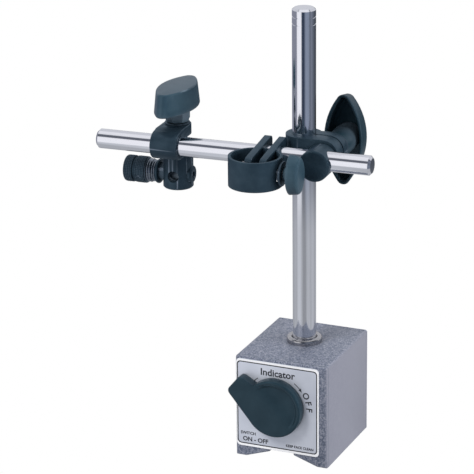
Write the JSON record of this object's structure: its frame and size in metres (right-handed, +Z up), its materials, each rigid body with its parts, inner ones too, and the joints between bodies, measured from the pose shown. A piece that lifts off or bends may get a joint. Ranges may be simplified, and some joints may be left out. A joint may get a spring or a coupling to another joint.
{
  "type": "magnetic indicator stand",
  "caption": "Switchable V-groove magnetic base with a chrome post, a swivelling cross arm, a clip with a 6 mm stem holder and a ring holder, all set by wing knobs.",
  "frame": {"origin": "centre of the magnetic working face under the base", "axes": "+Z up along the post, +Y to the back away from the switch lever, +X to the right seen from the lever's side"},
  "size_m": [0.146, 0.0848, 0.231],
  "materials": {
    "base_paint": "hammertone grey paint",
    "plate": "satin silver with dark print",
    "nickel": "nickel plated",
    "chrome": "polished chrome",
    "black_metal": "satin blue-black finish on steel",
    "black_plastic": "satin blue-black moulding",
    "knob_plastic": "satin blue-black moulding",
    "steel": "plain steel",
    "magnet": "sintered magnet"
  },
  "bodies": {
    "base": {"pole_left": "base_paint", "pole_right": "base_paint", "separator": "base_paint", "front_cover": "base_paint", "rear_cover": "base_paint", "rear_cover_screws": "steel", "name_plate": "plate", "column_collar": "nickel"},
    "lever": {"rotor_magnet": "magnet", "rotor_pole_shoes": "steel", "rotor_shaft": "steel", "lever_knob": "black_plastic"},
    "column": {"column": "chrome"},
    "column_clamp": {"column_clamp": "black_metal"},
    "swivel": {"swivel_bolt": "black_metal", "swivel_washer": "black_metal", "clamp_washer": "black_metal", "clamp_spacer": "black_metal"},
    "clamp_knob": {"clamp_knob": "knob_plastic"},
    "arm": {"arm_rod": "chrome"},
    "clip": {"arm_clip": "black_metal", "clip_bolt": "steel", "clip_washer": "black_metal"},
    "clip_knob": {"clip_knob": "knob_plastic"},
    "holder": {"stem_holder": "black_metal", "draw_bolt": "black_metal", "draw_washer": "black_metal", "draw_spring_ring": "steel", "draw_thrust_ring": "steel"},
    "nut": {"knurled_nut": "black_metal"},
    "ring_holder": {"ring_band": "black_metal", "cheek_left": "black_metal", "cheek_right": "black_metal", "cheek_spacer": "steel", "ring_screw": "steel", "ring_sleeve": "black_metal", "ring_washer": "black_metal"},
    "ring_knob": {"ring_knob": "knob_plastic"}
  },
  "joints": [
    {"name": "lever_turn", "type": "hinge", "parent": "base", "child": "lever", "pos_m": [-0.0024, -0.03, 0.0308], "axis": [0, 1, 0], "range_deg": [0, 110]},
    {"name": "column_turn", "type": "hinge", "parent": "base", "child": "column", "pos_m": [0, 0.003, 0.06], "axis": [0, 0, 1], "continuous": true},
    {"name": "clamp_slide", "type": "slide", "parent": "column", "child": "column_clamp", "axis": [0, 0, 1], "range_m": [-0.03, 0.055]},
    {"name": "swivel_turn", "type": "hinge", "parent": "column_clamp", "child": "swivel", "pos_m": [0.01387, -0.0133, 0.1573], "axis": [-0.0523, 0.9986, 0], "range_deg": [-30, 30]},
    {"name": "clamp_knob_turn", "type": "hinge", "parent": "swivel", "child": "clamp_knob", "pos_m": [0.01167, 0.02865, 0.1573], "axis": [-0.0523, 0.9986, 0], "range_deg": [-180, 180]},
    {"name": "arm_slide", "type": "slide", "parent": "swivel", "child": "arm", "axis": [0.9986, 0.0523, 0], "range_m": [-0.018, 0]},
    {"name": "clip_turn", "type": "hinge", "parent": "arm", "child": "clip", "pos_m": [-0.06602, -0.01748, 0.1585], "axis": [0.9986, 0.0523, 0], "range_deg": [-90, 90]},
    {"name": "clip_knob_turn", "type": "hinge", "parent": "clip", "child": "clip_knob", "pos_m": [-0.06675, -0.0035, 0.18], "axis": [0, 0, 1], "range_deg": [-180, 180]},
    {"name": "holder_turn", "type": "hinge", "parent": "clip", "child": "holder", "pos_m": [-0.06675, -0.0035, 0.145], "axis": [0, 0, 1], "continuous": true},
    {"name": "nut_turn", "type": "hinge", "parent": "holder", "child": "nut", "pos_m": [-0.08872, -0.00465, 0.1395], "axis": [0.9986, 0.0523, 0], "continuous": true},
    {"name": "ring_slide", "type": "slide", "parent": "arm", "child": "ring_holder", "axis": [0.9986, 0.0523, 0], "range_m": [-0.03, 0]},
    {"name": "ring_knob_turn", "type": "hinge", "parent": "ring_holder", "child": "ring_knob", "pos_m": [0.00886, -0.03238, 0.156], "axis": [0.9986, 0.0523, 0], "range_deg": [-180, 180]}
  ]
}
